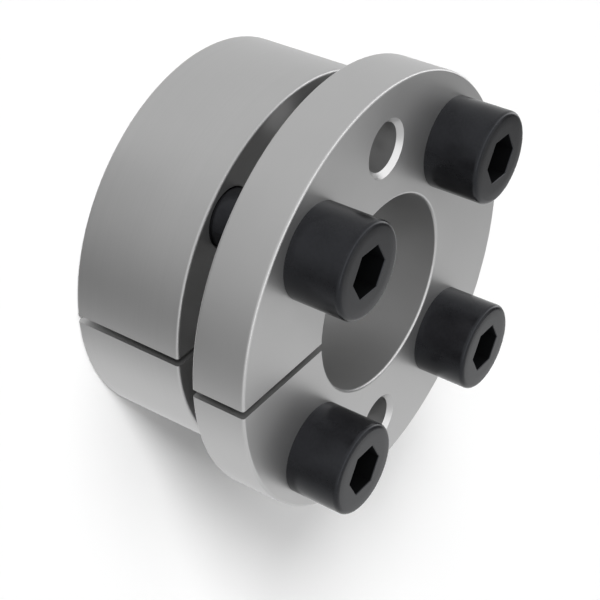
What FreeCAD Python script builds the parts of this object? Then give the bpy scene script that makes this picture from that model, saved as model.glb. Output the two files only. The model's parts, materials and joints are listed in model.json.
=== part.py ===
"""Keyless locking device: a single-taper clamping set that locks a hub onto a plain shaft.

Two slit rings wedge into each other. The inner ring is a thin sleeve with the shaft bore inside, a
taper outside and a thick flange at its wide end. The outer ring carries the matching taper in its
bore and the seat for the hub outside. Four socket head screws pass through the flange and pull the
outer ring along the taper, so that it grows against the hub while the sleeve closes on the shaft.
Two tapped holes in the flange, between the screws, take jacking screws that push the rings apart.

Frame: millimetres, the shaft axis is +Z, and the device stands on the back faces of its two rings.
The origin is the centre of the bore on that back plane. Both slits face -Y.
"""
import FreeCAD, Part
import os

import Sketcher

# Driving dimensions in millimetres: name, value, what it is.
SIZES = [
    ("bore_diameter", 28.0, "shaft bore of the inner ring"),
    ("sleeve_wall", 1.9, "inner ring wall at the thin end of its taper"),
    ("taper_rise", 1.5, "growth of the taper's radius along the outer ring"),
    ("taper_clearance", 0.05, "radial gap between the two tapers"),
    ("ring_web", 1.0, "outer ring wall between its taper and a tapped hole"),
    ("ring_rim", 0.95, "outer ring wall between a tapped hole and the hub seat"),
    ("ring_length", 17.0, "length of the outer ring"),
    ("ring_gap", 5.0, "gap between the outer ring and the flange"),
    ("flange_overhang", 3.5, "how far the flange stands past the hub seat"),
    ("flange_thickness", 8.0, "thickness of the flange"),
    ("neck_length", 4.0, "length of the neck between the taper and the flange"),
    ("neck_depth", 0.4, "step from the taper's wide end down to the neck"),
    ("root_fillet", 0.4, "fillet between the neck and the flange"),
    ("slit_width", 1.15, "width of the slit through each ring"),
    ("edge_round", 0.4, "rounding of the rings' outer and bore edges"),
    ("edge_break", 0.2, "chamfer on the edges of the tapers"),
    ("hole_break", 0.15, "chamfer at both ends of a tapped hole"),
    ("screw_diameter", 8.0, "nominal diameter of the clamping screws"),
    ("screw_length", 25.0, "length of a screw under its head"),
    ("screw_point", 0.9, "chamfer at the tip of a screw"),
    ("head_diameter", 13.0, "diameter of a screw head"),
    ("head_height", 8.0, "height of a screw head"),
    ("head_round", 0.7, "rounding of a screw head's top edge"),
    ("neck_fillet", 0.3, "fillet between a screw's head and its shank"),
    ("key_size", 6.0, "hexagon socket across its flats"),
    ("key_depth", 4.6, "depth of the hexagon socket's flat sides"),
    ("key_point", 1.2, "depth of the drilled point below the socket"),
    ("thread_clearance", 0.05, "radial gap between a screw and its tapped hole"),
    ("shank_play", 0.5, "radial gap between a screw and its hole in the flange"),
    ("jack_core", 6.8, "core diameter of the jacking threads"),
    ("jack_mouth", 8.2, "diameter of the chamfer at a jacking hole's mouth"),
]

SCREW_COUNT = 4
SCREW_START = 45.0
JACK_COUNT = 2
JACK_START = 0.0
KEY_TURN = 28.0
FULL_TURN = 360.0
SLIT_TURN = 180.0
MOUTH_ANGLE = 90.0
SAME_SIZE = 1e-6

# Places that follow from the driving dimensions, as expressions on the size sheet.
BORE = "(Sizes.bore_diameter / 2)"
TAPER_FOOT = f"({BORE} + Sizes.sleeve_wall)"
TAPER_HEAD = f"({TAPER_FOOT} + Sizes.taper_rise)"
TAPPED_RADIUS = "(Sizes.screw_diameter / 2 + Sizes.thread_clearance)"
SCREW_CIRCLE = f"({TAPER_HEAD} + Sizes.taper_clearance + Sizes.ring_web + {TAPPED_RADIUS})"
HUB_SEAT = f"({SCREW_CIRCLE} + {TAPPED_RADIUS} + Sizes.ring_rim)"
FLANGE_RADIUS = f"({HUB_SEAT} + Sizes.flange_overhang)"
FLANGE_BACK = "(Sizes.ring_length + Sizes.ring_gap)"
FLANGE_FRONT = f"({FLANGE_BACK} + Sizes.flange_thickness)"
NECK_START = f"({FLANGE_BACK} - Sizes.neck_length)"
TAPER_END = f"({TAPER_FOOT} + Sizes.taper_rise * {NECK_START} / Sizes.ring_length)"
NECK_RADIUS = f"({TAPER_END} - Sizes.neck_depth)"
SCREW_TOP = "(Sizes.screw_length + Sizes.head_height)"

doc = FreeCAD.newDocument("KeylessLockingDevice")


def write_sheet():
    """Put every driving dimension in the size sheet under its alias."""
    sheet = doc.addObject("Spreadsheet::Sheet", "Sizes")
    for row, (name, value, meaning) in enumerate(SIZES, start=1):
        sheet.set(f"A{row}", name)
        sheet.set(f"B{row}", str(value))
        sheet.setAlias(f"B{row}", name)
        sheet.set(f"C{row}", meaning)
    doc.recompute()
    return sheet


def new_body(label):
    """An empty body whose label becomes the name of the sub-part."""
    body = doc.addObject("PartDesign::Body", label)
    body.Label = label
    return body


def origin_feature(body, role):
    """One of the body's own origin planes or axes."""
    return next(item for item in body.Origin.OriginFeatures if item.Role == role)


def new_sketch(body, name, plane, height=None, turn=0.0):
    """A sketch on an origin plane, raised to a height and turned about the plane's normal."""
    sketch = body.newObject("Sketcher::SketchObject", name)
    sketch.AttachmentSupport = (origin_feature(body, plane), [""])
    sketch.MapMode = "FlatFace"
    normal = FreeCAD.Vector(0, 0, 1)
    sketch.AttachmentOffset = FreeCAD.Placement(FreeCAD.Vector(), FreeCAD.Rotation(normal, turn))
    if height:
        sketch.setExpression("AttachmentOffset.Base.z", height)
    return sketch


def tie(sketch, kind, first, second, expression, name):
    """Add one named dimension between two sketch points and bind it to the size sheet."""
    index = sketch.addConstraint(Sketcher.Constraint(kind, *first, *second, 1.0))
    sketch.renameConstraint(index, name)
    sketch.setExpression(f"Constraints.{name}", expression)


def place_point(sketch, point, across, along, name):
    """Fix a sketch point by its distances from the sketch's own origin; None lies on the axis."""
    root, horizontal_axis, vertical_axis = (-1, 1), -1, -2
    if across is None:
        sketch.addConstraint(Sketcher.Constraint("PointOnObject", *point, vertical_axis))
    else:
        tie(sketch, "DistanceX", root, point, across, f"{name}_across")
    if along is None:
        sketch.addConstraint(Sketcher.Constraint("PointOnObject", *point, horizontal_axis))
    else:
        tie(sketch, "DistanceY", root, point, along, f"{name}_along")


def outline(body, name, corners):
    """A closed straight-sided outline in the XZ plane, one expression pair to a corner."""
    sketch = new_sketch(body, name, "XZ_Plane")
    start, end = 1, 2
    count = len(corners)
    rough = [FreeCAD.Vector(10 + i % 2, 10 + i, 0) for i in range(count)]
    for i in range(count):
        sketch.addGeometry(Part.LineSegment(rough[i], rough[(i + 1) % count]))
    for i in range(count):
        after = (i + 1) % count
        sketch.addConstraint(Sketcher.Constraint("Coincident", i, end, after, start))
    for i, (across, along) in enumerate(corners):
        place_point(sketch, (i, start), across, along, f"corner{i}")
    return sketch


def turned(body, name, corners):
    """Turn an outline once round the body's axis."""
    sketch = outline(body, f"{name}_outline", corners)
    feature = body.newObject("PartDesign::Revolution", name)
    feature.Profile = sketch
    feature.ReferenceAxis = (sketch, ["V_Axis"])
    feature.Angle = FULL_TURN
    doc.recompute()
    return feature


def circles_of(body):
    """The circles on which the round edges of the body's last feature lie."""
    return [edge.Curve for edge in body.Tip.Shape.Edges if isinstance(edge.Curve, Part.Circle)]


def round_edges(body, name, wanted, size, kind="Fillet"):
    """Round or chamfer the round edges whose radius and height pass the test."""
    base = body.Tip
    names = []
    for number, edge in enumerate(base.Shape.Edges, start=1):
        if isinstance(edge.Curve, Part.Circle) and wanted(edge.Curve.Radius, edge.Curve.Center.z):
            names.append(f"Edge{number}")
    if not names:
        raise RuntimeError(f"{name} finds no edge")
    feature = body.newObject(f"PartDesign::{kind}", name)
    feature.Base = (base, names)
    feature.setExpression("Radius" if kind == "Fillet" else "Size", size)
    doc.recompute()
    return feature


def circle_sketch(body, name, radius, height, turn):
    """One circle on the screw circle, turned to its first place."""
    sketch = new_sketch(body, name, "XY_Plane", height, turn)
    centre = FreeCAD.Vector(20, 0, 0)
    sketch.addGeometry(Part.Circle(centre, FreeCAD.Vector(0, 0, 1), 2))
    place_point(sketch, (0, 3), SCREW_CIRCLE, None, "centre")
    index = sketch.addConstraint(Sketcher.Constraint("Radius", 0, 2.0))
    sketch.renameConstraint(index, "hole_radius")
    sketch.setExpression("Constraints.hole_radius", radius)
    return sketch


def pocket_up(body, name, sketch, depth=None):
    """Cut a sketch upwards, to a depth or through everything above it."""
    feature = body.newObject("PartDesign::Pocket", name)
    feature.Profile = sketch
    feature.Reversed = True
    if depth:
        feature.Type = "Length"
        feature.setExpression("Length", depth)
    else:
        feature.Type = "ThroughAll"
    doc.recompute()
    return feature


def repeat_round(body, name, feature, count):
    """Repeat a cut evenly round the body's axis."""
    pattern = body.newObject("PartDesign::PolarPattern", name)
    pattern.Originals = [feature]
    pattern.Axis = (origin_feature(body, "Z_Axis"), [""])
    pattern.Angle = FULL_TURN
    pattern.Occurrences = count
    body.Tip = pattern
    doc.recompute()
    return pattern


def cut_slit(body, name, inside, outside):
    """Saw the ring open along its whole length on the -Y side."""
    sketch = new_sketch(body, f"{name}_outline", "XY_Plane", None, SLIT_TURN)
    start, end = 1, 2
    half = 0.5
    corners = [(-half, 10), (half, 10), (half, 30), (-half, 30)]
    points = [FreeCAD.Vector(x, y, 0) for x, y in corners]
    for i in range(4):
        sketch.addGeometry(Part.LineSegment(points[i], points[(i + 1) % 4]))
    for i in range(4):
        sketch.addConstraint(Sketcher.Constraint("Coincident", i, end, (i + 1) % 4, start))
    sketch.addConstraint(Sketcher.Constraint("Horizontal", 2))
    sketch.addConstraint(Sketcher.Constraint("Vertical", 1))
    sketch.addConstraint(Sketcher.Constraint("Symmetric", 0, start, 0, end, -2))
    tie(sketch, "DistanceX", (0, start), (0, end), "Sizes.slit_width", "width")
    tie(sketch, "DistanceY", (-1, 1), (0, end), inside, "inner_end")
    tie(sketch, "DistanceY", (-1, 1), (2, start), outside, "outer_end")
    return pocket_up(body, name, sketch)


def build_inner_ring():
    """The flanged sleeve: bore, outside taper, neck, flange, screw holes and jacking holes."""
    body = new_body("inner_ring")
    turned(body, "sleeve_and_flange", [
        (BORE, None),
        (TAPER_FOOT, None),
        (TAPER_END, NECK_START),
        (NECK_RADIUS, f"{NECK_START} + Sizes.neck_depth"),
        (NECK_RADIUS, FLANGE_BACK),
        (FLANGE_RADIUS, FLANGE_BACK),
        (FLANGE_RADIUS, FLANGE_FRONT),
        (BORE, FLANGE_FRONT),
    ])
    circles = circles_of(body)
    bore_radius = min(circle.Radius for circle in circles)
    rim_radius = max(circle.Radius for circle in circles)
    flange_back = min(circle.Center.z for circle in circles if circle.Radius == rim_radius)
    root_radius = min(circle.Radius for circle in circles if circle.Center.z == flange_back)
    rims = (bore_radius, rim_radius)
    round_edges(body, "rounded_rims", lambda radius, z: radius in rims and z > 0, "Sizes.edge_round")
    round_edges(body, "rounded_root", lambda radius, z: (radius, z) == (root_radius, flange_back),
                "Sizes.root_fillet")
    round_edges(body, "broken_foot", lambda radius, z: z == 0, "Sizes.edge_break", "Chamfer")

    hole = circle_sketch(body, "screw_hole_outline", "Sizes.screw_diameter / 2 + Sizes.shank_play",
                         FLANGE_BACK, SCREW_START)
    screw_hole = pocket_up(body, "screw_hole", hole, "Sizes.flange_thickness")
    repeat_round(body, "screw_holes", screw_hole, SCREW_COUNT)

    mouth = circle_sketch(body, "jacking_hole_outline", "Sizes.jack_core / 2", FLANGE_FRONT, JACK_START)
    jacking_hole = body.newObject("PartDesign::Hole", "jacking_hole")
    jacking_hole.Profile = mouth
    doc.recompute()
    jacking_hole.Threaded = False
    jacking_hole.DepthType = "ThroughAll"
    jacking_hole.HoleCutType = "Countersink"
    jacking_hole.HoleCutCustomValues = True
    jacking_hole.HoleCutCountersinkAngle = MOUTH_ANGLE
    jacking_hole.setExpression("Diameter", "Sizes.jack_core")
    jacking_hole.setExpression("HoleCutDiameter", "Sizes.jack_mouth")
    doc.recompute()
    repeat_round(body, "jacking_holes", jacking_hole, JACK_COUNT)

    cut_slit(body, "sleeve_slit", f"{BORE} / 2", f"{FLANGE_RADIUS} * 1.1")
    return body


def build_outer_ring():
    """The hub-side ring: plain outside, taper inside, tapped holes for the clamping screws."""
    body = new_body("outer_ring")
    turned(body, "tapered_ring", [
        (f"{TAPER_FOOT} + Sizes.taper_clearance", None),
        (HUB_SEAT, None),
        (HUB_SEAT, "Sizes.ring_length"),
        (f"{TAPER_HEAD} + Sizes.taper_clearance", "Sizes.ring_length"),
    ])
    seat_radius = max(circle.Radius for circle in circles_of(body))
    round_edges(body, "broken_taper", lambda radius, z: radius < seat_radius, "Sizes.edge_break", "Chamfer")
    round_edges(body, "rounded_rims", lambda radius, z: radius == seat_radius, "Sizes.edge_round")

    hole = circle_sketch(body, "tapped_hole_outline", TAPPED_RADIUS, None, SCREW_START)
    tapped_hole = pocket_up(body, "tapped_hole", hole)
    repeat_round(body, "tapped_holes", tapped_hole, SCREW_COUNT)
    hole_radius = hole.Geometry[0].Radius
    round_edges(body, "broken_holes", lambda radius, z: abs(radius - hole_radius) < SAME_SIZE,
                "Sizes.hole_break", "Chamfer")

    cut_slit(body, "ring_slit", f"{BORE} / 2", f"{FLANGE_RADIUS} * 1.1")
    return body


def hexagon_sketch(body, name, height):
    """A regular hexagon across flats, with one corner on the sketch's horizontal axis."""
    sketch = new_sketch(body, name, "XY_Plane", height)
    corner = FreeCAD.Vector(3, 0, 0)
    spin = FreeCAD.Rotation(FreeCAD.Vector(0, 0, 1), FULL_TURN / 6)
    corners = [corner]
    for _ in range(5):
        corners.append(spin.multVec(corners[-1]))
    start, end = 1, 2
    for i in range(6):
        sketch.addGeometry(Part.LineSegment(corners[i], corners[(i + 1) % 6]))
    ring = sketch.addGeometry(Part.Circle(FreeCAD.Vector(), FreeCAD.Vector(0, 0, 1), 3), True)
    sketch.addConstraint(Sketcher.Constraint("Coincident", ring, 3, -1, 1))
    for i in range(6):
        sketch.addConstraint(Sketcher.Constraint("Coincident", i, end, (i + 1) % 6, start))
        sketch.addConstraint(Sketcher.Constraint("PointOnObject", i, start, ring))
    for i in range(1, 6):
        sketch.addConstraint(Sketcher.Constraint("Equal", 0, i))
    sketch.addConstraint(Sketcher.Constraint("PointOnObject", 0, start, -1))
    index = sketch.addConstraint(Sketcher.Constraint("Radius", ring, 3.0))
    sketch.renameConstraint(index, "corner_radius")
    sketch.setExpression("Constraints.corner_radius", "Sizes.key_size / 2 / cos(30 deg)")
    return sketch


def build_clamp_screw(number):
    """One socket head cap screw, built with its tip at the local origin and set in its hole."""
    body = new_body(f"clamp_screw_{number + 1}")
    shank = "Sizes.screw_diameter / 2"
    head = "Sizes.head_diameter / 2"
    turned(body, "head_and_shank", [
        (None, None),
        (f"{shank} - Sizes.screw_point", None),
        (shank, "Sizes.screw_point"),
        (shank, "Sizes.screw_length"),
        (head, "Sizes.screw_length"),
        (head, SCREW_TOP),
        (None, SCREW_TOP),
    ])
    circles = circles_of(body)
    head_radius = max(circle.Radius for circle in circles)
    top = max(circle.Center.z for circle in circles)
    seat = min(circle.Center.z for circle in circles if circle.Radius == head_radius)
    shank_radius = min(circle.Radius for circle in circles if circle.Center.z == seat)
    round_edges(body, "rounded_head", lambda radius, z: z == top, "Sizes.head_round")
    round_edges(body, "neck", lambda radius, z: (radius, z) == (shank_radius, seat), "Sizes.neck_fillet")

    floor = f"{SCREW_TOP} - Sizes.key_depth"
    socket = hexagon_sketch(body, "socket_outline", floor)
    pocket_up(body, "hexagon_socket", socket)
    point = outline(body, "socket_point_outline", [
        (None, f"{floor} - Sizes.key_point"),
        ("Sizes.key_size / 2", floor),
        (None, floor),
    ])
    groove = body.newObject("PartDesign::Groove", "socket_point")
    groove.Profile = point
    groove.ReferenceAxis = (point, ["V_Axis"])
    groove.Angle = FULL_TURN
    doc.recompute()

    angle = f"{SCREW_START + number * FULL_TURN / SCREW_COUNT} deg"
    body.setExpression("Placement.Base.x", f"{SCREW_CIRCLE} * cos({angle})")
    body.setExpression("Placement.Base.y", f"{SCREW_CIRCLE} * sin({angle})")
    body.setExpression("Placement.Base.z", f"{FLANGE_FRONT} - Sizes.screw_length")
    body.Placement.Rotation = FreeCAD.Rotation(FreeCAD.Vector(0, 0, 1), KEY_TURN)
    return body


def check_document():
    """Stop if an object failed or a cut removed nothing."""
    for item in doc.Objects:
        if {"Invalid", "Error"} & set(item.State):
            raise RuntimeError(f"{item.Label} failed: {item.State}")
        if item.isDerivedFrom("PartDesign::Feature") and item.BaseFeature is not None:
            if abs(item.Shape.Volume - item.BaseFeature.Shape.Volume) < SAME_SIZE:
                raise RuntimeError(f"{item.Label} changes nothing")


def export_parts(bodies):
    """Write each sub-part's solid to its own STEP file."""
    os.makedirs("parts", exist_ok=True)
    for body in bodies:
        shape = body.Shape
        if shape.isNull() or not shape.isValid() or len(shape.Solids) != 1:
            raise RuntimeError(f"{body.Label} is not one valid solid")
        shape.exportStep(f"parts/{body.Label}.step")
        box = shape.BoundBox
        print(body.Label, "volume", round(shape.Volume, 1), "height", round(box.ZMin, 2), round(box.ZMax, 2))


write_sheet()
parts = [build_inner_ring(), build_outer_ring()]
parts += [build_clamp_screw(number) for number in range(SCREW_COUNT)]
doc.recompute()
check_document()
export_parts(parts)
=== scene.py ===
# %% [markdown]
# # A keyless locking device
# This lesson dresses a machined part for its portrait. The part locks a hub onto a plain shaft:
# two slit steel rings slide into each other on a shallow taper, and four black screws pull them
# together. The solids come from the construction drawing, so here nobody changes a size. We give
# each surface its finish, cut the screw threads that the drawing leaves out, and light the part.

# %% Load the fixed frame
import json
import math

import bmesh
import bpy
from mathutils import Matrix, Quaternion, Vector

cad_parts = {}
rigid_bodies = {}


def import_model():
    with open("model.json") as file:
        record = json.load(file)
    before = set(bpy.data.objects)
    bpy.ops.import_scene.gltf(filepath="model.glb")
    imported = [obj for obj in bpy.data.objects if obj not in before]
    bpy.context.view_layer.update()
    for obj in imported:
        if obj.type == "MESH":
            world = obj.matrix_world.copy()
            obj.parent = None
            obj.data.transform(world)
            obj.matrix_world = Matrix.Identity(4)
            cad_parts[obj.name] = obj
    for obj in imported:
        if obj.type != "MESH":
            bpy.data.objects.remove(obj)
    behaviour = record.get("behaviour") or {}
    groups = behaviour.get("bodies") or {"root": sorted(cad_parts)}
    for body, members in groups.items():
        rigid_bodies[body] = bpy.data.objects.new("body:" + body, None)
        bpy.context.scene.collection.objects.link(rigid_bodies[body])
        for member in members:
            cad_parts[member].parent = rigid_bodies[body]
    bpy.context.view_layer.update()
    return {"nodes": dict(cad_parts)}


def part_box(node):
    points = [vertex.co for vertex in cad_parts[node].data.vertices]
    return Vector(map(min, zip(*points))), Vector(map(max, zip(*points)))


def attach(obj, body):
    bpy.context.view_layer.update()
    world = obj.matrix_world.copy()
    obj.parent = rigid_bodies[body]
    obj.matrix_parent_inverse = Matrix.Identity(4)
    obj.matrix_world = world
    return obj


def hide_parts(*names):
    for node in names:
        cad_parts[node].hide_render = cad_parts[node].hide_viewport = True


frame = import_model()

print("pieces in the frame:", sorted(frame["nodes"]))

# %% [markdown]
# ## Sizes that the scene shares
# Every length is in metres. A size that shows in a solid's box is measured on the frame, so a new
# drawing moves the dressed pieces with it. A box can't tell a bore, a cone or a hole, so those
# sizes are repeated from the drawing by name, in the cells that need them. The screw thread is the
# one thing that the drawing leaves out, and its sizes come with its own cell.

# %% Measure the frame
MM = 0.001
SCREWS = [f"clamp_screw_{number}" for number in (1, 2, 3, 4)]


def middle(node):
    """The centre of a node's box, seen along the shaft axis."""
    low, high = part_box(node)
    return Vector(((low.x + high.x) / 2, (low.y + high.y) / 2, 0))


ring_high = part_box("outer_ring")[1]
flange_low, flange_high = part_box("inner_ring")
screw_low, screw_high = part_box(SCREWS[0])
screw_places = {node: middle(node) for node in SCREWS}
HEAD_RADIUS = (screw_high.x - screw_low.x) / 2
HEAD_TOP = screw_high.z
HEAD_SEAT = flange_high.z
SCREW_TIP = screw_low.z
RING_FRONT = ring_high.z
print("flange across:", round((flange_high.x - flange_low.x) / MM, 2), "mm")
print("screw circle:", round(2 * screw_places[SCREWS[0]].length / MM, 2), "mm")

# %% [markdown]
# ## The camera
# The photograph looks at the flange from its front and a little from above, while the part lies
# on its side. In the drawing it stands on its end instead, so the camera is tipped over: it looks
# from the same side of the part, and then turns about its own line of sight. The long lens and
# the distance were found by fitting the outlines of the rings and the screw heads.

# %% Set up the camera
AIM = Vector((3.73, -3.36, 18.84)) * MM
CAMERA_DISTANCE = 213 * MM
CAMERA_AZIMUTH = math.radians(-42.0)
CAMERA_ELEVATION = math.radians(27.92)
CAMERA_ROLL = math.radians(112.46)
LENS_MM = 92.65


def direction(azimuth, elevation):
    """The unit vector towards a viewer; azimuth 0 looks along +Y."""
    flat = math.cos(elevation)
    return Vector((math.sin(azimuth) * flat, -math.cos(azimuth) * flat, math.sin(elevation)))


toward_camera = direction(CAMERA_AZIMUTH, CAMERA_ELEVATION)
upright = (-toward_camera).to_track_quat("-Z", "Y")
camera_turn = upright @ Quaternion((0, 0, 1), CAMERA_ROLL)
lens = bpy.data.cameras.new("long lens")
lens.lens = LENS_MM
lens.clip_start = 10 * MM
camera = bpy.data.objects.new("camera", lens)
camera.rotation_mode = "QUATERNION"
camera.rotation_quaternion = camera_turn
camera.location = AIM + toward_camera * CAMERA_DISTANCE
bpy.context.scene.collection.objects.link(camera)
bpy.context.scene.camera = camera
bpy.context.scene.view_settings.view_transform = "Standard"
print("camera at", [round(c / MM, 1) for c in camera.location], "mm")

# %% [markdown]
# ## A shorthand for shader sums
# A finish is a sum of masks, noises and colours. Wiring those sums by hand hides the idea behind
# dozens of calls, so one small class wraps an output socket and lets plain Python operators add
# the Math nodes. Every other node comes from one method: its type, its settings, its sockets.

# %% Write node sums as expressions


class Wire:
    """An output socket of a node tree that can be used in Python sums."""

    def __init__(self, tree, socket=None):
        self.tree = tree
        self.socket = socket

    def feed(self, socket, value):
        """Link a wire to an input socket, or set the socket to a plain value."""
        if isinstance(value, Wire):
            self.tree.links.new(value.socket, socket)
        else:
            socket.default_value = value

    def node(self, kind, settings=None, inputs=None, out=0):
        """Add a node: its settings first, then its sockets. Returns one of its outputs."""
        made = self.tree.nodes.new(kind)
        for name, value in (settings or {}).items():
            if name == "stops":
                elements = made.color_ramp.elements
                elements.remove(elements[1])
                elements[0].position, elements[0].color = value[0]
                for place, colour in value[1:]:
                    elements.new(place).color = colour
            else:
                setattr(made, name, value)
        for name, value in (inputs or {}).items():
            self.feed(made.inputs[name], value)
        return Wire(self.tree, made.outputs[out])

    def maths(self, operation, *values):
        """A Math node on plain numbers or wires."""
        return self.node("ShaderNodeMath", {"operation": operation}, dict(enumerate(values)))

    def __add__(self, other):
        return self.maths("ADD", self, other)

    __radd__ = __add__

    def __sub__(self, other):
        return self.maths("SUBTRACT", self, other)

    def __rsub__(self, other):
        return self.maths("SUBTRACT", other, self)

    def __mul__(self, other):
        return self.maths("MULTIPLY", self, other)

    __rmul__ = __mul__

    def __pow__(self, other):
        return self.maths("POWER", self, other)

    def mixed(self, first, second):
        """Blend two colours; this wire is the factor."""
        settings = {"data_type": "RGBA"}
        return self.node("ShaderNodeMix", settings, {0: self, 6: first, 7: second}, out=2)

    def smooth(self, low, high):
        """0 below low, 1 above high and a soft step between."""
        settings = {"interpolation_type": "SMOOTHSTEP"}
        return self.node("ShaderNodeMapRange", settings, {0: self, 1: low, 2: high, 3: 0.0, 4: 1.0})


def grey(level, tint=0.0):
    """A grey; a tint puts some blue in."""
    return (level, level, level * (1 + tint), 1.0)


def new_finish(name):
    """An empty material with its shader, and a wire to start sums from."""
    finish = bpy.data.materials.new(name)
    finish.use_nodes = True
    shader = finish.node_tree.nodes["Principled BSDF"]
    return finish, shader, Wire(finish.node_tree)


print("Wire is ready")

# %% [markdown]
# ## Turned steel
# Both rings are turned and then ground, which leaves a satin grey skin. Up close it carries very
# fine lines that run round the axis: along the barrel they are stacked by height, and on the
# flat faces they are circles. A noise that only knows the radius and the height gives both at
# once, with no seam and no picture. A second, slow noise makes some areas a shade duller. The
# skin is a little short of pure metal: a thin film of oil and dust scatters some light, which
# keeps the steel beside the black heads from going dark.

# %% Make the turned steel
METAL_SHARE = 0.94
STEEL_DULL = 0.455
STEEL_BRIGHT = 0.485
STEEL_ROUGHNESS = 0.34
LINE_DEPTH = 0.004 * MM
LINES_PER_METRE = 9000.0
PATCHES_PER_METRE = 55.0


def turned_steel():
    """Satin ground steel with fine lines round the axis."""
    finish, shader, wire = new_finish("turned steel")
    place = wire.node("ShaderNodeTexCoord", out="Object")
    x, y, z = (wire.node("ShaderNodeSeparateXYZ", inputs={0: place}, out=axis) for axis in "XYZ")
    radius = (x * x + y * y) ** 0.5
    track = wire.node("ShaderNodeCombineXYZ", inputs={"X": radius, "Y": z})
    lines = wire.node("ShaderNodeTexNoise", inputs={
        "Vector": track, "Scale": LINES_PER_METRE, "Detail": 3.0, "Roughness": 0.6})
    patches = wire.node("ShaderNodeTexNoise", inputs={
        "Vector": place, "Scale": PATCHES_PER_METRE, "Detail": 4.0, "Roughness": 0.55})
    tone = patches * 0.6 + lines * 0.4
    colour = tone.smooth(0.3, 0.7).mixed(grey(STEEL_DULL), grey(STEEL_BRIGHT))
    relief = wire.node("ShaderNodeBump", inputs={
        "Strength": 0.35, "Distance": LINE_DEPTH, "Height": lines})
    wire.feed(shader.inputs["Base Color"], colour)
    wire.feed(shader.inputs["Roughness"], STEEL_ROUGHNESS + patches * 0.06 + lines * 0.03)
    wire.feed(shader.inputs["Normal"], relief)
    shader.inputs["Metallic"].default_value = METAL_SHARE
    return finish


ring_steel = turned_steel()
print("made", ring_steel.name)

# %% [markdown]
# ## Blackened screw steel
# The screws are forged, rolled and then blackened in a hot bath. The skin is nearly black with a
# breath of blue, satin, and finely mottled, because the bath follows the grain of the forging.
# It scatters light like a dark coating, so it is shaded as a dull dark skin rather than a mirror,
# and what it does mirror is tinted a little blue too. The walls and bottom of the socket are
# painted near black and made rougher, as painted shade for that deep recess: there the skin is
# half a black metal, since a metal mirrors light in its own colour only.

# %% Make the blackened steel
GRAIN_PER_METRE = 2600.0
MOTTLE_PER_METRE = 320.0
GRAIN_DEPTH = 0.012 * MM
SKIN_DARK = 0.006
SKIN_PALE = 0.009
SKIN_BLUE = 0.12
SKIN_ROUGHNESS = 0.20
SHINE_TINT = (0.86, 0.91, 1.0, 1.0)
SHINE_LEVEL = 0.235
# painted shade: the socket's walls and bottom are painted near black, rougher and half metal
SOCKET_PAINTED_SHADE = 0.001
SOCKET_SHADE_METAL = 0.5
SOCKET_SHADE_ROUGHNESS = 0.5
SOCKET_SHADE_RADIUS = 3.45 * MM
SOCKET_SHADE_FADE = 0.1 * MM
SOCKET_SHADE_TOP = HEAD_TOP - 0.12 * MM
SOCKET_SHADE_TOP_FADE = 0.06 * MM


def blackened_steel():
    """Dark, faintly blue and satin, with a fine mottle."""
    finish, shader, wire = new_finish("blackened steel")
    place = wire.node("ShaderNodeTexCoord", out="Object")
    grain = wire.node("ShaderNodeTexNoise", inputs={
        "Vector": place, "Scale": GRAIN_PER_METRE, "Detail": 4.0, "Roughness": 0.65})
    mottle = wire.node("ShaderNodeTexNoise", inputs={
        "Vector": place, "Scale": MOTTLE_PER_METRE, "Detail": 3.0, "Roughness": 0.5})
    x, y, z = (wire.node("ShaderNodeSeparateXYZ", inputs={0: place}, out=axis) for axis in "XYZ")
    radius = (x * x + y * y) ** 0.5
    inside = 1 - radius.smooth(SOCKET_SHADE_RADIUS, SOCKET_SHADE_RADIUS + SOCKET_SHADE_FADE)
    below_top = 1 - z.smooth(SOCKET_SHADE_TOP, SOCKET_SHADE_TOP + SOCKET_SHADE_TOP_FADE)
    in_head = z.smooth(HEAD_SEAT, HEAD_SEAT + MM)
    socket = inside * in_head * below_top
    tone = (grain * 0.5 + mottle * 0.5).smooth(0.35, 0.65)
    skin = tone.mixed(grey(SKIN_DARK, SKIN_BLUE), grey(SKIN_PALE, SKIN_BLUE))
    roughness = SKIN_ROUGHNESS + mottle * 0.05 + grain * 0.05 + socket * SOCKET_SHADE_ROUGHNESS
    relief = wire.node("ShaderNodeBump", inputs={
        "Strength": 0.12, "Distance": GRAIN_DEPTH, "Height": grain})
    # the socket mask paints near-black shade into the socket recess
    wire.feed(shader.inputs["Base Color"], socket.mixed(skin, grey(SOCKET_PAINTED_SHADE)))
    wire.feed(shader.inputs["Metallic"], socket * SOCKET_SHADE_METAL)
    wire.feed(shader.inputs["Roughness"], roughness)
    wire.feed(shader.inputs["Normal"], relief)
    shader.inputs["Specular IOR Level"].default_value = SHINE_LEVEL
    shader.inputs["Specular Tint"].default_value = SHINE_TINT
    return finish


screw_steel = blackened_steel()
print("made", screw_steel.name)

# %% [markdown]
# ## Working like a lathe
# Nearly every surface of this part was cut on a lathe, so most of the meshes start as a profile
# that is turned round an axis. The profile is a list of corners, and each corner can be eased
# with a round or a chamfer, as the turner does it. Welding and shading come last: a surface is
# smooth except where two faces meet at more than the given angle.

# %% Lathe helpers
ROUND_STEPS = 7
WELD_DISTANCE = 0.0001 * MM
SHARP_ANGLE = math.radians(32.0)
scene_objects = bpy.context.scene.collection.objects


def eased(corners):
    """The profile through (radius, height, ease, steps) corners; one step is a chamfer."""
    profile = []
    for spot, (radius, height, ease, steps) in enumerate(corners):
        corner = Vector((radius, height))
        before = (Vector(corners[spot - 1][:2]) - corner).normalized()
        after = (Vector(corners[(spot + 1) % len(corners)][:2]) - corner).normalized()
        if steps == 0:
            profile.append(corner)
        for step in range(steps + 1 if steps else 0):
            turn = math.pi / 2 * step / steps
            pivot = corner + (before + after) * ease
            profile.append(pivot - after * ease * math.cos(turn) - before * ease * math.sin(turn))
    return profile


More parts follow.
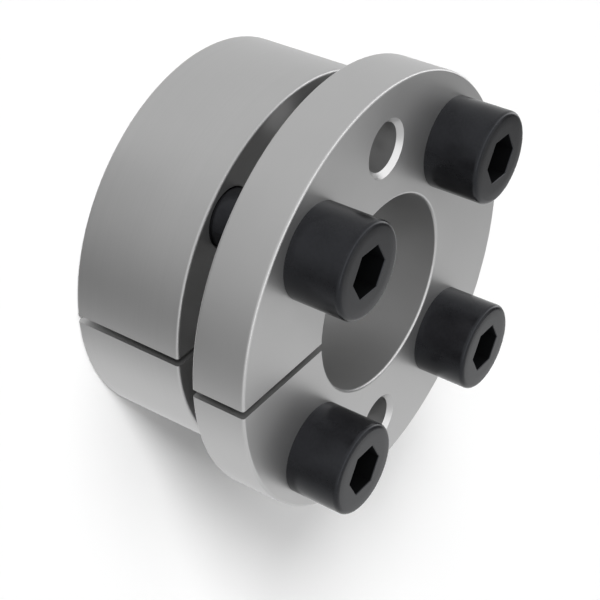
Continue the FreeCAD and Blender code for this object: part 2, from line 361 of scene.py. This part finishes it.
def lathe(form, profile, steps, centre=Vector((0, 0))):
    """Turn a closed profile of (radius, height) points round a vertical axis."""
    columns = []
    for step in range(steps):
        angle = step * math.tau / steps
        columns.append([form.verts.new((centre.x + radius * math.cos(angle),
                                        centre.y + radius * math.sin(angle), height))
                        for radius, height in profile])
    for step in range(steps):
        here, there = columns[step], columns[(step + 1) % steps]
        for spot in range(len(profile)):
            after = (spot + 1) % len(profile)
            form.faces.new((here[spot], here[after], there[after], there[spot]))


def weld(form, name):
    """Join points that coincide, turn the faces outwards, and hand over the mesh."""
    bmesh.ops.remove_doubles(form, verts=form.verts, dist=WELD_DISTANCE)
    bmesh.ops.recalc_face_normals(form, faces=form.faces)
    mesh = bpy.data.meshes.new(name)
    form.to_mesh(mesh)
    form.free()
    return mesh


def shade(mesh):
    """Smooth shading up to an angle; reports whether the skin is closed."""
    mesh.polygons.foreach_set("use_smooth", [True] * len(mesh.polygons))
    mesh.set_sharp_from_angle(angle=SHARP_ANGLE)
    uses = {}
    for face in mesh.polygons:
        for edge in face.edge_keys:
            uses[edge] = uses.get(edge, 0) + 1
    print(mesh.name, "faces:", len(mesh.polygons), "open edges:",
          sum(1 for count in uses.values() if count != 2))
    return mesh


print("lathe ready")

# %% [markdown]
# ## The two rings
# The drawing's solids have the right form, but they come as a net of uneven facets, and polished
# steel shows every one of them along its rounded edges. So each ring is turned here again from
# the drawing's own profile with even steps. The rear ring is a plain cylinder outside and a
# shallow cone inside. The front one is a thin sleeve with the matching cone, a narrow neck that
# keeps the grinding wheel clear of the corner, and the flange.

# %% Turn the blanks
RING_STEPS = 288
BORE_RADIUS = 14.0 * MM
CONE_FOOT = 15.9 * MM
CONE_RISE = 1.5 * MM
CONE_PLAY = 0.05 * MM
NECK_LENGTH = 4.0 * MM
NECK_DEPTH = 0.4 * MM
EDGE_ROUND = 0.4 * MM
EDGE_BREAK = 0.2 * MM
SEAT_RADIUS = ring_high.x
FLANGE_RADIUS = flange_high.x
RING_GAP = 5.0 * MM
FLANGE_BACK = RING_FRONT + RING_GAP
NECK_START = FLANGE_BACK - NECK_LENGTH


def cone_radius(height):
    """The outside of the sleeve at a height."""
    return CONE_FOOT + CONE_RISE * height / RING_FRONT


def rear_ring_profile():
    """Hub seat outside, cone inside."""
    return eased([
        (cone_radius(0) + CONE_PLAY, 0, EDGE_BREAK, 1),
        (SEAT_RADIUS, 0, EDGE_ROUND, ROUND_STEPS),
        (SEAT_RADIUS, RING_FRONT, EDGE_ROUND, ROUND_STEPS),
        (cone_radius(RING_FRONT) + CONE_PLAY, RING_FRONT, EDGE_BREAK, 1)])


def flanged_sleeve_profile():
    """Bore, cone, neck and flange."""
    neck = cone_radius(NECK_START) - NECK_DEPTH
    return eased([
        (BORE_RADIUS, 0, EDGE_BREAK, 1),
        (cone_radius(0), 0, EDGE_BREAK, 1),
        (cone_radius(NECK_START), NECK_START, 0, 0),
        (neck, NECK_START + NECK_DEPTH, 0, 0),
        (neck, FLANGE_BACK, EDGE_ROUND, ROUND_STEPS),
        (FLANGE_RADIUS, FLANGE_BACK, EDGE_ROUND, ROUND_STEPS),
        (FLANGE_RADIUS, HEAD_SEAT, EDGE_ROUND, ROUND_STEPS),
        (BORE_RADIUS, HEAD_SEAT, EDGE_ROUND, ROUND_STEPS)])


print("points in the profiles:", len(rear_ring_profile()), len(flanged_sleeve_profile()))

# %% [markdown]
# ### Drills and the slitting saw
# Holes and slits are cut from the turned blanks with a boolean, just as they are cut from the
# real ones after turning. A drill is a small lathe form too, and its wide ends make the
# chamfers. The saw is a thin upright plate on the side of the axis where both rings are slit.

# %% Make the cutters
HOLE_STEPS = 96
OVERSHOOT = 1.0 * MM
SHANK_HOLE = 4.5 * MM
TAPPED_HOLE = 4.05 * MM
TAPPED_BREAK = 0.15 * MM
JACK_CORE = 3.4 * MM
JACK_MOUTH = 4.1 * MM
JACK_CIRCLE = 22.5 * MM
SAW_HALF = 0.575 * MM
SAW_NEAR = -8 * MM
SAW_FAR = -34 * MM
SAW_FACES = ((0, 1, 2, 3), (4, 5, 6, 7), (0, 1, 5, 4), (1, 2, 6, 5), (2, 3, 7, 6), (3, 0, 4, 7))


def drill(form, centre, radius, low, high, low_break=0.0, high_break=0.0):
    """A cutter for a through hole with a 45 degree chamfer at each end."""
    foot, head = low - OVERSHOOT, high + OVERSHOOT
    profile = [(0, foot), (radius + low_break + (OVERSHOOT if low_break else 0), foot)]
    if low_break:
        profile.append((radius, low + low_break))
    if high_break:
        profile.append((radius, high - high_break))
    profile.append((radius + high_break + (OVERSHOOT if high_break else 0), head))
    profile.append((0, head))
    lathe(form, profile, HOLE_STEPS, centre)


def saw(form, low, high):
    """A plate that slits a ring on the -Y side, from the bore outwards."""
    corners = [form.verts.new((x, y, z)) for z in (low - OVERSHOOT, high + OVERSHOOT)
               for x, y in ((-SAW_HALF, SAW_NEAR), (SAW_HALF, SAW_NEAR),
                            (SAW_HALF, SAW_FAR), (-SAW_HALF, SAW_FAR))]
    for face in SAW_FACES:
        form.faces.new([corners[corner] for corner in face])


def cut_away(blank, cutters, name):
    """The blank less the cutters."""
    body = bpy.data.objects.new("blank", blank)
    tool = bpy.data.objects.new("cutters", cutters)
    scene_objects.link(body)
    scene_objects.link(tool)
    cut = body.modifiers.new("cut", "BOOLEAN")
    cut.operation = "DIFFERENCE"
    cut.solver = "EXACT"
    cut.object = tool
    graph = bpy.context.evaluated_depsgraph_get()
    form = bmesh.new()
    form.from_mesh(body.evaluated_get(graph).to_mesh())
    bpy.data.objects.remove(body)
    bpy.data.objects.remove(tool)
    return shade(weld(form, name))


print("cutters ready")

# %% [markdown]
# ### Cut and place the rings
# The flange has four clear holes under the screw heads and two holes between them. Those two are
# for taking the device apart: screws driven into them push the rings off their taper. Their
# mouths are wide and bright. A weighted normal keeps the big flat faces flat in the shading.

# %% Cut the rings


def place_ring(mesh, node):
    """Put a ring in the place of its solid, in steel and riding on its body."""
    mesh.materials.append(ring_steel)
    ring = bpy.data.objects.new(f"{node}_turned", mesh)
    scene_objects.link(ring)
    even = ring.modifiers.new("flat faces stay flat", "WEIGHTED_NORMAL")
    even.keep_sharp = True
    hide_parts(node)
    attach(ring, node)


blank = bmesh.new()
lathe(blank, rear_ring_profile(), RING_STEPS)
tools = bmesh.new()
for place in screw_places.values():
    drill(tools, place, TAPPED_HOLE, 0, RING_FRONT, TAPPED_BREAK, TAPPED_BREAK)
saw(tools, 0, RING_FRONT)
place_ring(cut_away(weld(blank, "blank"), weld(tools, "tools"), "rear ring"), "outer_ring")

blank = bmesh.new()
lathe(blank, flanged_sleeve_profile(), RING_STEPS)
tools = bmesh.new()
for place in screw_places.values():
    drill(tools, place, SHANK_HOLE, FLANGE_BACK, HEAD_SEAT)
for side in (-1, 1):
    drill(tools, Vector((side * JACK_CIRCLE, 0)), JACK_CORE, FLANGE_BACK, HEAD_SEAT,
          high_break=JACK_MOUTH - JACK_CORE)
saw(tools, 0, HEAD_SEAT)
place_ring(cut_away(weld(blank, "blank"), weld(tools, "tools"), "flanged sleeve"), "inner_ring")

# %% [markdown]
# ## The shape of a metric thread
# A metric thread is a ridge with flanks at 60 degrees that climbs one pitch in a turn. One could
# bend a flat strip round the screw or displace a fine grid. It is cleaner to lay the mesh itself
# along the helix: each row of points follows the lead, so crests and roots stay crisp with only
# four points to a pitch. Where the thread runs out of the shank, its depth fades to nothing.

# %% Describe the thread
PITCH = 1.25 * MM
THREAD_RADIUS = 4.0 * MM
ROOT_RADIUS = 3.27 * MM
CREST_SHARE = 0.125
FLANK_SLOPE = math.tan(math.radians(30))
FLANK_SHARE = (THREAD_RADIUS - ROOT_RADIUS) * FLANK_SLOPE / PITCH
ROOT_SHARE = 1 - CREST_SHARE - 2 * FLANK_SHARE
THREAD_TOP = RING_FRONT + 0.4 * MM
RUN_OUT = 1.5 * PITCH
POINT_RADIUS = 3.1 * MM
STEPS_ROUND = 96
SOCKET_TURN = math.radians(28.0)


def step_angle(step):
    """The angle of one step round the screw; the first lies on a corner of the socket."""
    return SOCKET_TURN + step * math.tau / STEPS_ROUND


def thread_column(angle, low, high):
    """Points (radius, height) down one side of the thread, from high to low."""
    turns = math.ceil((high - low) / PITCH) + 2
    profile = [(0.0, ROOT_RADIUS), (ROOT_SHARE, ROOT_RADIUS),
               (ROOT_SHARE + FLANK_SHARE, THREAD_RADIUS), (1 - FLANK_SHARE, THREAD_RADIUS)]
    column = []
    for turn in range(turns):
        for share, radius in profile:
            height = high + PITCH * (angle / math.tau - turn - share)
            height = min(max(height, low), high)
            fade = min((high - height) / RUN_OUT, 1.0)
            radius = THREAD_RADIUS - (THREAD_RADIUS - radius) * fade
            column.append((min(radius, POINT_RADIUS + height - low), height))
    return column, len(profile)


print("thread: root share", round(ROOT_SHARE, 3), "flank share", round(FLANK_SHARE, 3))

# %% [markdown]
# ## The clamp screws
# Each screw is a cylinder-head screw with a hexagon socket. The drawing shows it with a plain
# shank, so here it gets a mesh of its own that stands in for the solid: one closed skin that runs
# from the drilled bottom of the socket, up its six walls, over the rounded head, down the smooth
# shank and round the thread to the chamfered tip. It is laid row by row, like turning on a lathe.

# %% Row helpers
SOCKET_FLAT = 3.0 * MM
SOCKET_DEPTH = 4.6 * MM
DRILL_RADIUS = 2.9 * MM
DRILL_POINT = 1.2 * MM


def hexagon(step, flat=SOCKET_FLAT):
    """The radius of the socket's hexagon at a step; step 0 is a corner."""
    per_side = STEPS_ROUND // 6
    off_middle = (step % per_side - per_side / 2) * math.tau / STEPS_ROUND
    return flat / math.cos(off_middle)


def add_row(form, radii, height):
    """A closed row of points at one height, with a radius for each step."""
    row = []
    for step, radius in enumerate(radii):
        angle = step_angle(step)
        row.append(form.verts.new((radius * math.cos(angle), radius * math.sin(angle), height)))
    return row


def bridge(form, upper, lower):
    """Faces between two closed rows."""
    for step in range(len(upper)):
        after = (step + 1) % len(upper)
        form.faces.new((upper[step], lower[step], lower[after], upper[after]))


def close_row(form, row, height):
    """A shallow cone that closes a row at a point on the axis."""
    point = form.verts.new((0, 0, height))
    for step in range(len(row)):
        form.faces.new((row[step], row[(step + 1) % len(row)], point))


print("row helpers ready")

# %% [markdown]
# ### Head, socket and shank
# The rim of the head is turned to a small round, which draws the thin bright line round each
# black disc. The mouth of the socket has only its burr taken off. These rows are given as a
# radius for every step and a height.

# %% Rows of the head
HEAD_ROUND = 0.7 * MM
BURR = 0.12 * MM
FACE_RING = 4.6 * MM
NECK_ROUND = 0.3 * MM
NECK_STEPS = 3
SHANK_RADIUS = THREAD_RADIUS


def quarter(count):
    """Sine and cosine pairs over a quarter turn."""
    return [(math.sin(a), math.cos(a)) for a in
            (math.pi / 2 * step / count for step in range(count + 1))]


def plain(radius):
    """The same radius at every step."""
    return [radius] * STEPS_ROUND


def head_rows():
    """(radii, height) from the socket's bottom to the end of the smooth shank."""
    socket = [hexagon(step) for step in range(STEPS_ROUND)]
    mouth = [hexagon(step, SOCKET_FLAT + BURR) for step in range(STEPS_ROUND)]
    rows = [(plain(DRILL_RADIUS), HEAD_TOP - SOCKET_DEPTH), (socket, HEAD_TOP - SOCKET_DEPTH),
            (socket, HEAD_TOP - BURR), (mouth, HEAD_TOP), (plain(FACE_RING), HEAD_TOP)]
    for sine, cosine in quarter(ROUND_STEPS):
        rows.append((plain(HEAD_RADIUS - HEAD_ROUND * (1 - sine)),
                     HEAD_TOP - HEAD_ROUND * (1 - cosine)))
    rows.append((plain(HEAD_RADIUS), HEAD_SEAT))
    for sine, cosine in quarter(NECK_STEPS):
        rows.append((plain(SHANK_RADIUS + NECK_ROUND * (1 - sine)),
                     HEAD_SEAT - NECK_ROUND * (1 - cosine)))
    return rows


print("rows in the head:", len(head_rows()))

# %% [markdown]
# ### One screw, used four times
# The thread's rows climb as they go round, so where the last column meets the first one each row
# joins the row one pitch above it. The four screws share this mesh, since they come from one box.

# %% Build the screw


def add_thread(form, top_row):
    """The thread below a closed row, and the flat end of the screw."""
    columns = []
    for step in range(STEPS_ROUND):
        angle = step_angle(step)
        points, per_turn = thread_column(angle - SOCKET_TURN, SCREW_TIP, THREAD_TOP)
        columns.append([form.verts.new((r * math.cos(angle), r * math.sin(angle), h))
                        for r, h in points])
    last = STEPS_ROUND - 1
    for step in range(STEPS_ROUND):
        here = [top_row[step]] * per_turn + columns[step]
        after = (step + 1) % STEPS_ROUND
        there = [top_row[after]] * per_turn + columns[after]
        if step == last:
            here = here[per_turn:]
        for upper in range(min(len(here), len(there)) - 1):
            corners = [here[upper], here[upper + 1], there[upper + 1], there[upper]]
            corners = list(dict.fromkeys(corners))
            if len(corners) > 2:
                form.faces.new(corners)
    return [column[-1] for column in columns]


def clamp_screw_mesh():
    """A black cylinder-head screw M8 with a hexagon socket."""
    form = bmesh.new()
    rows = [add_row(form, radii, height) for radii, height in head_rows()]
    close_row(form, rows[0], HEAD_TOP - SOCKET_DEPTH - DRILL_POINT)
    for upper, lower in zip(rows, rows[1:]):
        bridge(form, upper, lower)
    thread_start = add_row(form, plain(SHANK_RADIUS), THREAD_TOP)
    bridge(form, rows[-1], thread_start)
    tip = add_thread(form, thread_start)
    close_row(form, tip, SCREW_TIP)
    return shade(weld(form, "clamp screw"))


screw_mesh = clamp_screw_mesh()
screw_mesh.materials.append(screw_steel)
for node, place in screw_places.items():
    screw = bpy.data.objects.new(f"{node}_turned", screw_mesh)
    screw.location = place
    scene_objects.link(screw)
    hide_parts(node)
    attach(screw, node)
    print(screw.name, "at", [round(c / MM, 2) for c in place])

# %% [markdown]
# ## The tapped holes
# The screws bite into the rear ring. The drawing bores these holes plain and a little wide, which
# leaves room for the real thread: a ridge on the wall of the hole that lies in the groove of the
# screw. Both follow the same helix, so they stay clear of each other while the screw turns and
# the flange moves out by one pitch a turn.

# %% Cut the thread in the ring
WALL_RADIUS = 4.08 * MM
RIDGE_RADIUS = 3.36 * MM
THREAD_PLAY = 0.06 * MM
RIDGE_MARGIN = 0.95 * MM
RIDGE_STEPS = 64
WALL_OVERLAP = 0.02 * MM


def half_width(radius):
    """Half the ridge's thickness at a radius: the screw's groove, less the play."""
    return ROOT_SHARE * PITCH / 2 + (radius - ROOT_RADIUS) * FLANK_SLOPE - THREAD_PLAY


def groove_height(turns):
    """The middle of the screw's groove after so many turns down from the thread's top."""
    return THREAD_TOP - PITCH * (turns + ROOT_SHARE / 2)


def add_ridge(form, place):
    """One helical ridge that starts and ends flush with the wall of the hole."""
    first = math.ceil((groove_height(0) - RING_FRONT + RIDGE_MARGIN) / PITCH * RIDGE_STEPS)
    final = math.floor((groove_height(0) - RIDGE_MARGIN) / PITCH * RIDGE_STEPS)
    low_crest = WALL_RADIUS - WALL_OVERLAP
    sections = []
    for step in range(first, final + 1):
        turns = step / RIDGE_STEPS
        angle = SOCKET_TURN - turns * math.tau
        grown = min((step - first) / RIDGE_STEPS, (final - step) / RIDGE_STEPS, 0.5) * 2
        crest = low_crest - (low_crest - RIDGE_RADIUS) * grown
        section = []
        for radius, side in ((WALL_RADIUS, 1), (crest, 1), (crest, -1), (WALL_RADIUS, -1)):
            height = groove_height(turns) + side * half_width(radius)
            section.append(form.verts.new((place.x + radius * math.cos(angle),
                                           place.y + radius * math.sin(angle), height)))
        sections.append(section)
    for upper, lower in zip(sections, sections[1:]):
        for side in range(4):
            after = (side + 1) % 4
            form.faces.new((upper[side], lower[side], lower[after], upper[after]))
    form.faces.new(sections[0])
    form.faces.new(sections[-1])


ridges = bmesh.new()
for place in screw_places.values():
    add_ridge(ridges, place)
ring_threads = bpy.data.objects.new("tapped_threads", shade(weld(ridges, "tapped threads")))
ring_threads.data.materials.append(ring_steel)
scene_objects.link(ring_threads)
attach(ring_threads, "outer_ring")

# %% [markdown]
# ## The table top
# The part stands on a plain white table. Its white is dull paint under the two lamps and the
# room's even fill, so it keeps the soft shadow; a very small glow of its own lifts the deepest
# part of that shadow. The table is left out of mirror images and of the light that bounces back,
# as the photograph shows the part lit by panels and not by the ground.

# %% Lay the table
TABLE_GLOW = 0.03
TABLE_PAINT = 0.95
TABLE_HALF = 3.0


def table_top():
    """A white that glows a little and still takes a shadow."""
    finish, shader, wire = new_finish("white table")
    paint = wire.node("ShaderNodeBsdfDiffuse", inputs={"Color": grey(TABLE_PAINT)})
    glow = wire.node("ShaderNodeEmission", inputs={"Color": grey(1.0), "Strength": TABLE_GLOW})
    both = wire.node("ShaderNodeAddShader", inputs={0: paint, 1: glow})
    output = finish.node_tree.nodes["Material Output"]
    wire.feed(output.inputs["Surface"], both)
    finish.node_tree.nodes.remove(shader)
    return finish


sheet_form = bmesh.new()
bmesh.ops.create_grid(sheet_form, x_segments=1, y_segments=1, size=TABLE_HALF)
sheet_mesh = bpy.data.meshes.new("table")
sheet_form.to_mesh(sheet_mesh)
sheet_form.free()
table = bpy.data.objects.new("table", sheet_mesh)
table.data.materials.append(table_top())
table.visible_glossy = False
table.visible_diffuse = False
table.visible_shadow = False
scene_objects.link(table)
print("table laid")

# %% [markdown]
# ## Grey cloths round the table
# Polished metal only looks like metal when it has something to mirror. A photographer hangs pale
# cloths round the table and leaves one darker strip, which becomes the dark streak along the
# barrel. Here one round tent does the work of all of them: its glow depends on the direction, and
# it is seen in reflections only. Its lower half changes with the compass, and its upper half
# across a strip. The stops were tuned until the light and dark bands on the barrel and the flange
# fell where the photograph has them. Low down on the side of the slits the tent is dusky. A bent
# bright panel runs from high on the left down to the back of the part: it draws the thin light
# line along every rounded edge, and the flat faces look past it.
#
# Every range below is a share of the tent's radius, from where a tone starts to where it is full.

# %% Hang the cloths
TENT_RADIUS = 2.0
TENT_SEGMENTS = 64
TENT_RINGS = 32
PALE = 0.92
UPPER_HALF = (0.05, 0.30)
CROWN = (0.55, 0.75)
DUSK_LEVEL = 0.10
DUSK_DEPTH = (0.42, 0.70)
DUSK_SIDE = (0.15, 0.55)
PANEL_AXIS = Vector((0.43, 0.33, 0.84))
PANEL_LEVEL = 2.8
PANEL_OUTER = (0.33, 0.42)
PANEL_INNER = (0.56, 0.65)
PANEL_END = (0.10, 0.35)
STRIP_ACROSS = Vector((-0.964, -0.214, 0.157))
STRIP_SIDE = (0.10, 0.50)
UPPER_STOPS = [
    (0.00, 1.10), (0.165, 1.08), (0.18, 0.92), (0.19, 0.74), (0.20, 0.56), (0.215, 0.38),
    (0.23, 0.20), (0.26, 0.07), (0.50, 0.07), (0.60, 0.60), (0.70, 0.92)]
CLOTH_STOPS = [
    (0.00, 0.82), (0.05, 0.84), (0.10, 0.95), (0.15, 0.97), (0.19, 0.88), (0.24, 0.57),
    (0.285, 0.34), (0.325, 0.48), (0.39, 0.96), (0.46, 1.08), (0.50, 0.94), (0.60, 0.95),
    (0.86, 0.84), (1.00, 0.82)]


def cloth():
    """Pale cloth whose tone depends on the direction, with one bright panel."""
    finish, shader, wire = new_finish("grey cloth")
    place = wire.node("ShaderNodeTexCoord", out="Object")
    x, y, z = (wire.node("ShaderNodeSeparateXYZ", inputs={0: place}, out=axis) * (1 / TENT_RADIUS)
               for axis in "XYZ")

    def along(axis):
        """How far the cloth lies along a direction, as a share of the radius."""
        return x * axis.x + y * axis.y + z * axis.z

    def shades(stops, spot):
        """The greys of a list of stops, looked up at a spot between 0 and 1."""
        ramp = {"stops": [(position, grey(level)) for position, level in stops]}
        return wire.node("ShaderNodeValToRGB", ramp, {0: spot})

    compass = x.maths("ARCTAN2", y, x) * (1 / math.tau) + 0.5
    dusk = (0 - z).smooth(*DUSK_DEPTH) * (0 - y).smooth(*DUSK_SIDE)
    lower = dusk.mixed(shades(CLOTH_STOPS, compass), grey(DUSK_LEVEL))
    strip = shades(UPPER_STOPS, along(STRIP_ACROSS) * 0.5 + 0.5)
    upper = y.smooth(*STRIP_SIDE).mixed(grey(PALE), strip)
    lean = along(PANEL_AXIS)
    panel = lean.smooth(*PANEL_OUTER) * (1 - lean.smooth(*PANEL_INNER)) * (
        1 - x.smooth(*PANEL_END))
    tone = z.smooth(*UPPER_HALF).mixed(lower, upper)
    tone = z.smooth(*CROWN).mixed(tone, grey(PALE))
    tone = panel.mixed(tone, grey(PANEL_LEVEL))
    glow = wire.node("ShaderNodeEmission", inputs={"Color": tone, "Strength": 1.0})
    output = finish.node_tree.nodes["Material Output"]
    wire.feed(output.inputs["Surface"], glow)
    finish.node_tree.nodes.remove(shader)
    return finish


tent_form = bmesh.new()
bmesh.ops.create_uvsphere(tent_form, u_segments=TENT_SEGMENTS, v_segments=TENT_RINGS,
                          radius=TENT_RADIUS)
tent_mesh = bpy.data.meshes.new("cloths")
tent_form.to_mesh(tent_mesh)
tent_form.free()
cloths = bpy.data.objects.new("cloths", tent_mesh)
cloths.data.materials.append(cloth())
cloths.visible_camera = False
cloths.visible_diffuse = False
cloths.visible_shadow = False
cloths.visible_transmission = False
scene_objects.link(cloths)
print("cloths hung")

# %% [markdown]
# ## The room
# Beyond the table the room is white for the camera, and equally for anything that mirrors or
# transmits it, though the cloths hide it from mirrors. For dull surfaces it gives an even fill.

# %% Light the room
ROOM_FILL = 0.25
room = bpy.data.worlds.new("room")
room.use_nodes = True
bpy.context.scene.world = room
backdrop = room.node_tree.nodes["Background"]
sky = Wire(room.node_tree)
by_camera, by_mirror, by_glass = (
    sky.node("ShaderNodeLightPath", out=f"Is {kind} Ray")
    for kind in ("Camera", "Glossy", "Transmission"))
shown = by_camera + by_mirror + by_glass
shown = sky.maths("MINIMUM", shown, 1.0)
sky.feed(backdrop.inputs["Color"], shown.mixed(grey(ROOM_FILL), grey(1.0)))
backdrop.inputs["Strength"].default_value = 1.0
print("room lit")

# %% [markdown]
# ## The lamps
# The shadow in the photograph hugs the lower edge of the part and fades within a few
# centimetres. A low key light from beside the camera throws it there: most of the shadow falls
# behind the part, and only its soft edge shows. A weaker one from higher up darkens the floor
# close to the part. A sun with a wide disc works like a large panel far away, even over the
# whole table.

# %% Place the lamps
LAMP_DISTANCE = 0.5


def soft_sun(name, azimuth, elevation, strength, disc):
    """A wide, even light from one direction, left out of the mirror images."""
    light = bpy.data.lights.new(name, "SUN")
    light.energy = strength
    light.angle = math.radians(disc)
    lamp = bpy.data.objects.new(name, light)
    toward = direction(math.radians(azimuth), math.radians(elevation))
    lamp.rotation_mode = "QUATERNION"
    lamp.rotation_quaternion = toward.to_track_quat("Z", "Y")
    lamp.location = toward * LAMP_DISTANCE
    lamp.visible_glossy = False
    scene_objects.link(lamp)
    print(name, "from", [round(c, 2) for c in toward])


soft_sun("key light", azimuth=-62, elevation=22, strength=3.9, disc=16)
soft_sun("upper light", azimuth=-68, elevation=48, strength=1.33, disc=40)
